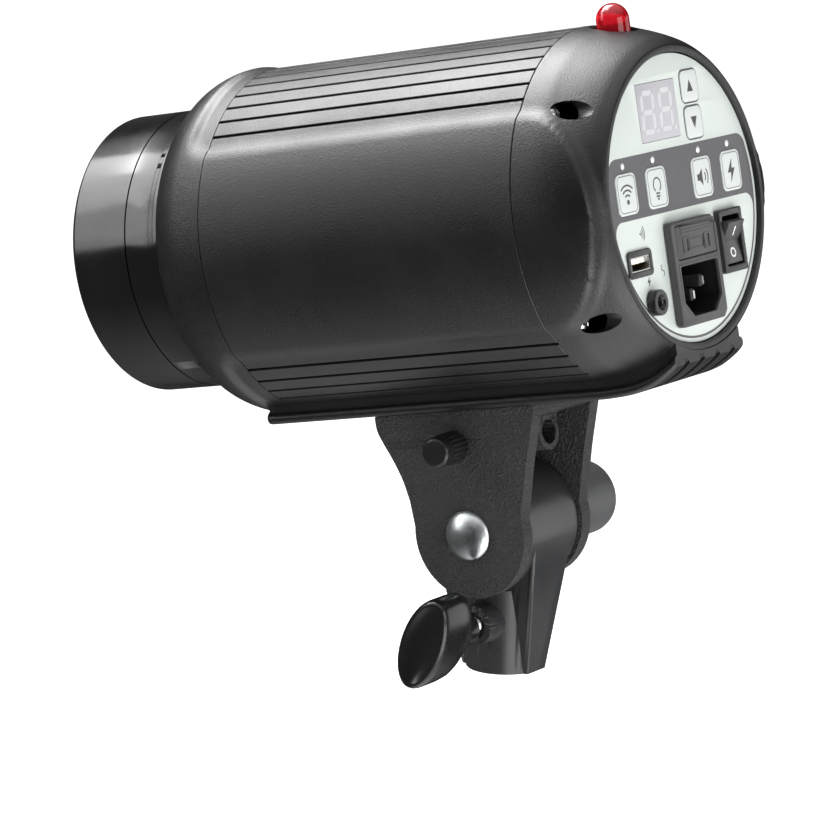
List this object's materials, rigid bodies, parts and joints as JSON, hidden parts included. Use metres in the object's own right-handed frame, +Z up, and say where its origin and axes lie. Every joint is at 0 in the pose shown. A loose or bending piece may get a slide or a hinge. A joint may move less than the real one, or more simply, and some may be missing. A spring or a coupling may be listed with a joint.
{
  "type": "monolight strobe",
  "caption": "Studio flash head with ribbed black housing and white rear control panel, on a tilting yoke with an umbrella tube and a clamp socket for a light stand.",
  "frame": {"origin": "middle of the stand socket's lower face, where the stand's spigot enters", "axes": "+Z up along the stand, -Y towards the light's front cap, +X to the side with the clamp knob; rest pose has the front tilted 10.95 degrees down"},
  "size_m": [0.124, 0.2399, 0.2344],
  "materials": {
    "shell_plastic": "fine moulded texture",
    "cap_plastic": "smooth gloss",
    "powder_coat": "coarse powder coat",
    "nylon": "smooth satin",
    "panel_white": "printed overlay, satin",
    "key_white": "satin",
    "display_window": "tinted window",
    "indicator": "clear lens",
    "gloss_black": "smooth",
    "sensor_red": "transparent red, polished",
    "chrome": "bright zinc plate",
    "steel": "plated",
    "aluminium": "plain sheet",
    "brass": "turned",
    "lamp_glass": "clear",
    "ceramic": null,
    "board_green": "solder resist on glass-epoxy board",
    "capacitor_sleeve": "shrink sleeve"
  },
  "bodies": {
    "stand_adapter": {"stand_adapter": "nylon", "friction_washer_left": "nylon", "friction_washer_right": "nylon"},
    "clamp_pad": {"clamp_pad": "brass"},
    "clamp_knob": {"clamp_knob": "nylon", "clamp_screw": "steel"},
    "head": {"tilt_bracket": "powder_coat", "tilt_bolt": "chrome", "bracket_screw_1": "steel", "bracket_screw_2": "steel", "base_rail": "shell_plastic", "front_shell": "shell_plastic", "mid_shell": "shell_plastic", "rear_shell": "shell_plastic", "mount_collar": "cap_plastic", "control_panel": "panel_white", "display_window": "display_window", "indicator_1": "indicator", "indicator_2": "indicator", "indicator_3": "indicator", "indicator_4": "indicator", "inlet_housing": "gloss_black", "inlet_pin_line": "steel", "inlet_pin_neutral": "steel", "inlet_pin_earth": "steel", "switch_bezel": "gloss_black", "usb_socket": "gloss_black", "usb_tongue": "ceramic", "sync_jack": "gloss_black", "sensor_dome": "sensor_red", "shell_screw_1": "steel", "shell_screw_2": "steel", "shell_screw_3": "steel", "shell_screw_4": "steel", "lamp_plate": "aluminium", "lamp_socket": "ceramic", "modelling_lamp": "lamp_glass", "flash_tube": "lamp_glass", "flash_capacitor_1": "capacitor_sleeve", "flash_capacitor_2": "capacitor_sleeve", "main_board": "board_green", "control_board": "board_green", "fan_frame": "nylon"},
    "tilt_washer": {"tilt_washer": "steel"},
    "tilt_knob": {"tilt_knob": "nylon"},
    "umbrella_lock_pad": {"umbrella_lock_pad": "nylon"},
    "umbrella_lock_knob": {"umbrella_lock_knob": "nylon", "umbrella_lock_screw": "steel"},
    "front_cap": {"front_cap": "cap_plastic"},
    "fuse_drawer": {"fuse_drawer": "gloss_black", "fuse": "lamp_glass"},
    "switch_rocker": {"switch_rocker": "gloss_black"},
    "fan_rotor": {"fan_rotor": "gloss_black"},
    "button_optical_trigger": {"button_optical_trigger": "key_white"},
    "button_modelling_lamp": {"button_modelling_lamp": "key_white"},
    "button_beeper": {"button_beeper": "key_white"},
    "button_test": {"button_test": "key_white"},
    "button_up": {"button_up": "key_white"},
    "button_down": {"button_down": "key_white"}
  },
  "joints": [
    {"name": "head_tilt", "type": "hinge", "parent": "stand_adapter", "child": "head", "pos_m": [0, -0.0017, 0.0505], "axis": [1, 0, 0], "range_deg": [-100, 79]},
    {"name": "clamp_travel", "type": "slide", "parent": "stand_adapter", "child": "clamp_pad", "axis": [1, 0, 0], "range_m": [0, 0.0018]},
    {"name": "clamp_turn", "type": "hinge", "parent": "clamp_pad", "child": "clamp_knob", "pos_m": [0.02, 0, 0.0185], "axis": [1, 0, 0], "range_deg": [0, 510]},
    {"name": "tilt_clamp_travel", "type": "slide", "parent": "head", "child": "tilt_washer", "axis": [-1, 0, 0], "range_m": [0, 0.0016]},
    {"name": "tilt_clamp_turn", "type": "hinge", "parent": "tilt_washer", "child": "tilt_knob", "pos_m": [-0.0218, -0.0017, 0.0505], "axis": [-1, 0, 0], "range_deg": [0, 450]},
    {"name": "umbrella_lock_travel", "type": "slide", "parent": "head", "child": "umbrella_lock_pad", "axis": [1, 0, 0], "range_m": [0, 0.002]},
    {"name": "umbrella_lock_turn", "type": "hinge", "parent": "umbrella_lock_pad", "child": "umbrella_lock_knob", "pos_m": [0.0218, -0.00694, 0.08127], "axis": [1, 0, 0], "range_deg": [0, 700]},
    {"name": "front_cap_pull", "type": "slide", "parent": "head", "child": "front_cap", "axis": [0, -0.9818, -0.19], "range_m": [0, 0.05]},
    {"name": "fuse_drawer_pull", "type": "slide", "parent": "head", "child": "fuse_drawer", "axis": [0, 0.9818, 0.19], "range_m": [0, 0.018]},
    {"name": "switch_rock", "type": "hinge", "parent": "head", "child": "switch_rocker", "pos_m": [-0.0254, 0.06916, 0.15435], "axis": [1, 0, 0], "range_deg": [0, 22]},
    {"name": "fan_spin", "type": "hinge", "parent": "head", "child": "fan_rotor", "pos_m": [0, 0.02653, 0.16413], "axis": [0, 0.9818, 0.19], "continuous": true},
    {"name": "press_optical_trigger", "type": "slide", "parent": "head", "child": "button_optical_trigger", "axis": [0, -0.9818, -0.19], "range_m": [0, 0.0008], "stiffness_N_per_m": 1200, "springref_m": -0.0004},
    {"name": "press_modelling_lamp", "type": "slide", "parent": "head", "child": "button_modelling_lamp", "axis": [0, -0.9818, -0.19], "range_m": [0, 0.0008], "stiffness_N_per_m": 1200, "springref_m": -0.0004},
    {"name": "press_beeper", "type": "slide", "parent": "head", "child": "button_beeper", "axis": [0, -0.9818, -0.19], "range_m": [0, 0.0008], "stiffness_N_per_m": 1200, "springref_m": -0.0004},
    {"name": "press_test", "type": "slide", "parent": "head", "child": "button_test", "axis": [0, -0.9818, -0.19], "range_m": [0, 0.0008], "stiffness_N_per_m": 1200, "springref_m": -0.0004},
    {"name": "press_up", "type": "slide", "parent": "head", "child": "button_up", "axis": [0, -0.9818, -0.19], "range_m": [0, 0.0008], "stiffness_N_per_m": 1200, "springref_m": -0.0004},
    {"name": "press_down", "type": "slide", "parent": "head", "child": "button_down", "axis": [0, -0.9818, -0.19], "range_m": [0, 0.0008], "stiffness_N_per_m": 1200, "springref_m": -0.0004}
  ],
  "couplings": [
    {"joint": "clamp_travel", "follows": "clamp_turn", "m_per_rad": 0.00019894},
    {"joint": "tilt_clamp_travel", "follows": "tilt_clamp_turn", "m_per_rad": 0.00019894},
    {"joint": "umbrella_lock_travel", "follows": "umbrella_lock_turn", "m_per_rad": 0.00015915}
  ]
}
